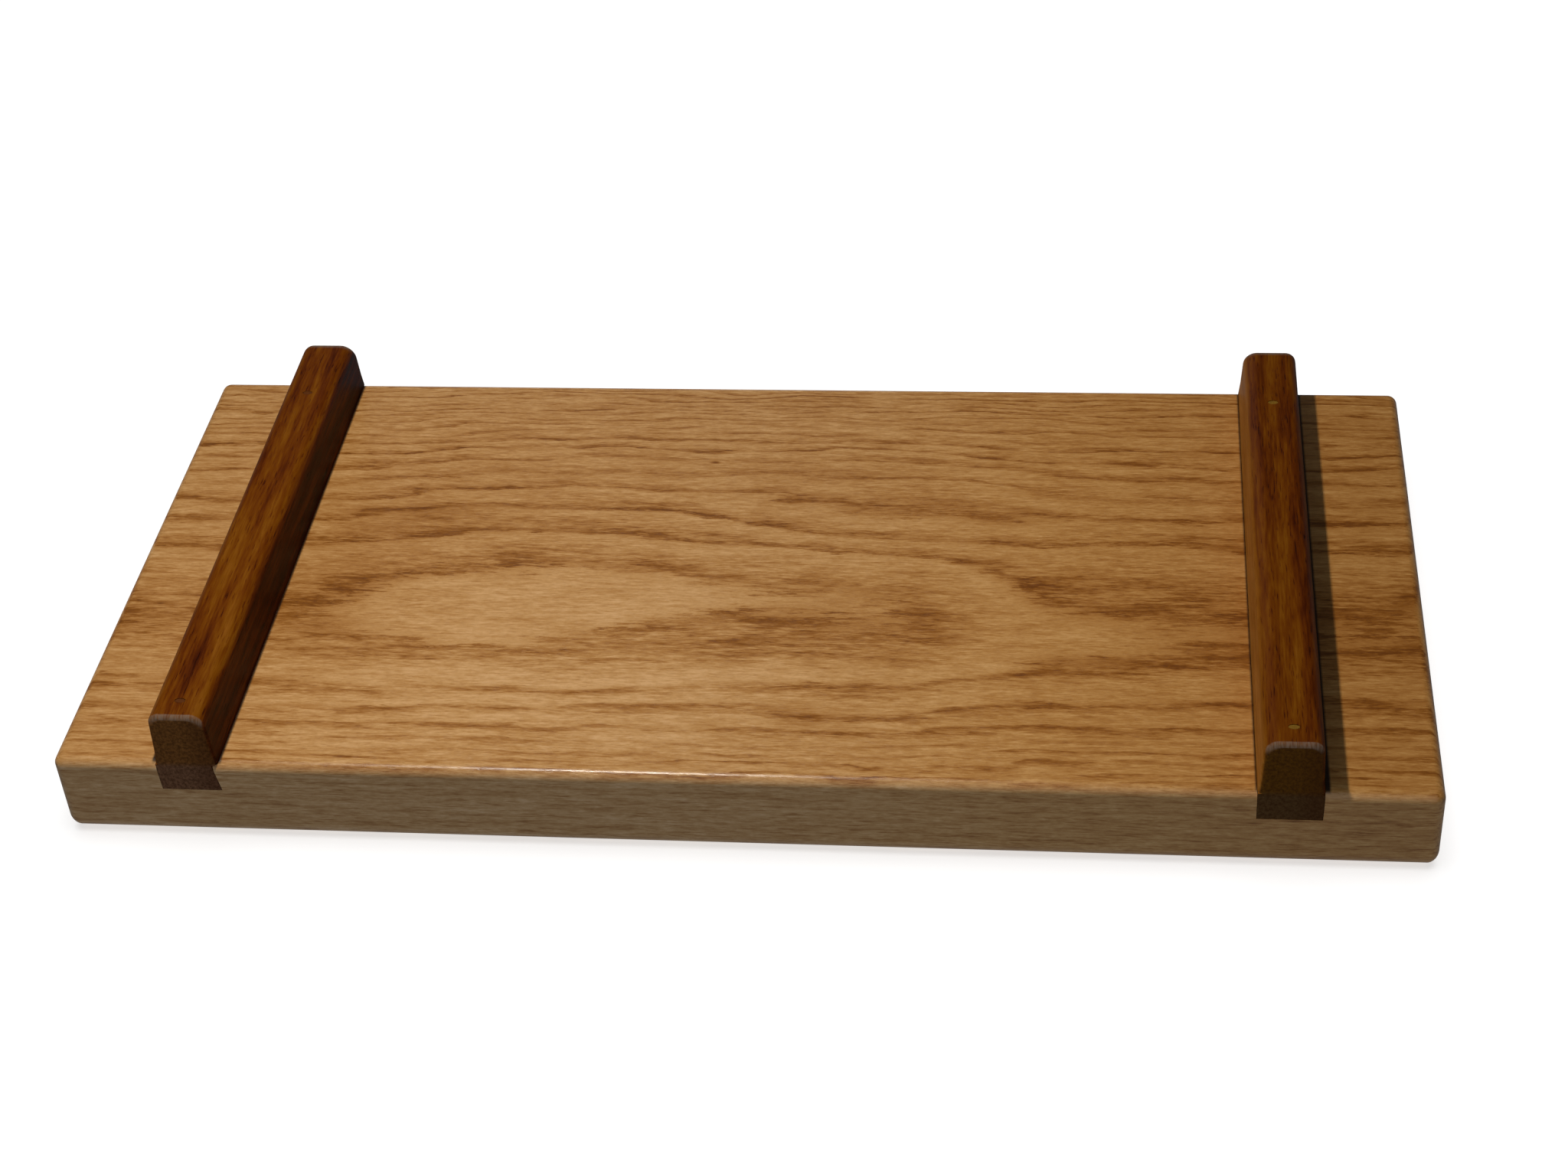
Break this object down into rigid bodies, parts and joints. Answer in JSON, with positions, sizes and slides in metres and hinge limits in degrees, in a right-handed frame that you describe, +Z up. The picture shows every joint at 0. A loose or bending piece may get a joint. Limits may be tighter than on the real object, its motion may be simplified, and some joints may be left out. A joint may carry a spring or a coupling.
{
  "type": "serving tray",
  "caption": "Flat serving tray: a thick solid oak board with dark hardwood strip handles let into grooves across its top near both ends.",
  "frame": {"origin": "middle of the board's underside, on the surface that the tray rests on", "axes": "+X along the board toward the right handle, +Y to the back, along the handles, +Z up"},
  "size_m": [0.406, 0.198, 0.0475],
  "materials": {
    "oak": "satin lacquer, flat-sawn grain along X",
    "dark_hardwood": "gloss lacquer, grain along Y",
    "nail_steel": "bright wire",
    "dark_filler": "matt wood filler under lacquer",
    "pale_filler": "matt wood filler under lacquer"
  },
  "bodies": {
    "root": {"board": "oak", "handle_left": "dark_hardwood", "handle_right": "dark_hardwood", "nail_left_back": "nail_steel", "nail_left_front": "nail_steel", "nail_right_back": "nail_steel", "nail_right_front": "nail_steel", "filler_left_back": "dark_filler", "filler_left_front": "dark_filler", "filler_right_back": "pale_filler", "filler_right_front": "pale_filler"}
  },
  "joints": []
}
